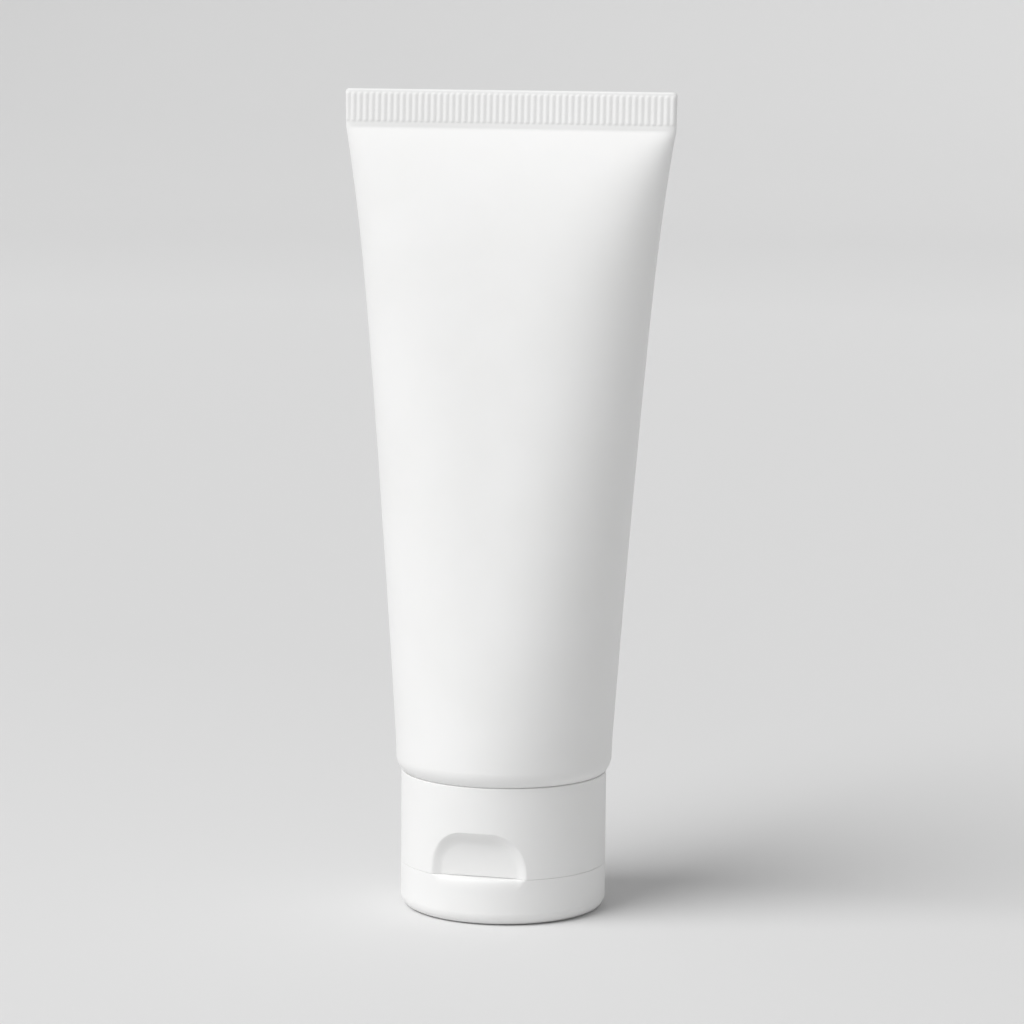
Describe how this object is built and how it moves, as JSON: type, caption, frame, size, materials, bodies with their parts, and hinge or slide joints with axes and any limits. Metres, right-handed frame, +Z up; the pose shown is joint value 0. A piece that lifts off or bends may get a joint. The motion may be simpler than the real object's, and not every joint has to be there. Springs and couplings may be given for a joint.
{
  "type": "cream tube",
  "caption": "Plain white squeeze tube for cream, round at the shoulder and sealed flat with a ribbed end, standing on a flip-top cap with a thumb recess.",
  "frame": {"origin": "on the floor, under the tube's axis, at the middle of the lid's flat outer face", "axes": "+Z up along the tube's axis to the flat seal, -Y out of the thumb recess at the front, X along the flat seal"},
  "size_m": [0.0624, 0.04, 0.151],
  "materials": {
    "tube_plastic": "satin white polyethylene",
    "cap_plastic": "satin white polypropylene",
    "cream": "soft white cream"
  },
  "bodies": {
    "tube": {"tube_sleeve": "tube_plastic", "tube_head": "tube_plastic", "cap_base": "cap_plastic", "hinge_strap": "cap_plastic", "cream_fill": "cream"},
    "lid": {"cap_lid": "cap_plastic"}
  },
  "joints": [
    {"name": "lid_hinge", "type": "hinge", "parent": "tube", "child": "lid", "pos_m": [0, 0.01985, 0.0086], "axis": [1, 0, 0], "range_deg": [0, 180]}
  ]
}
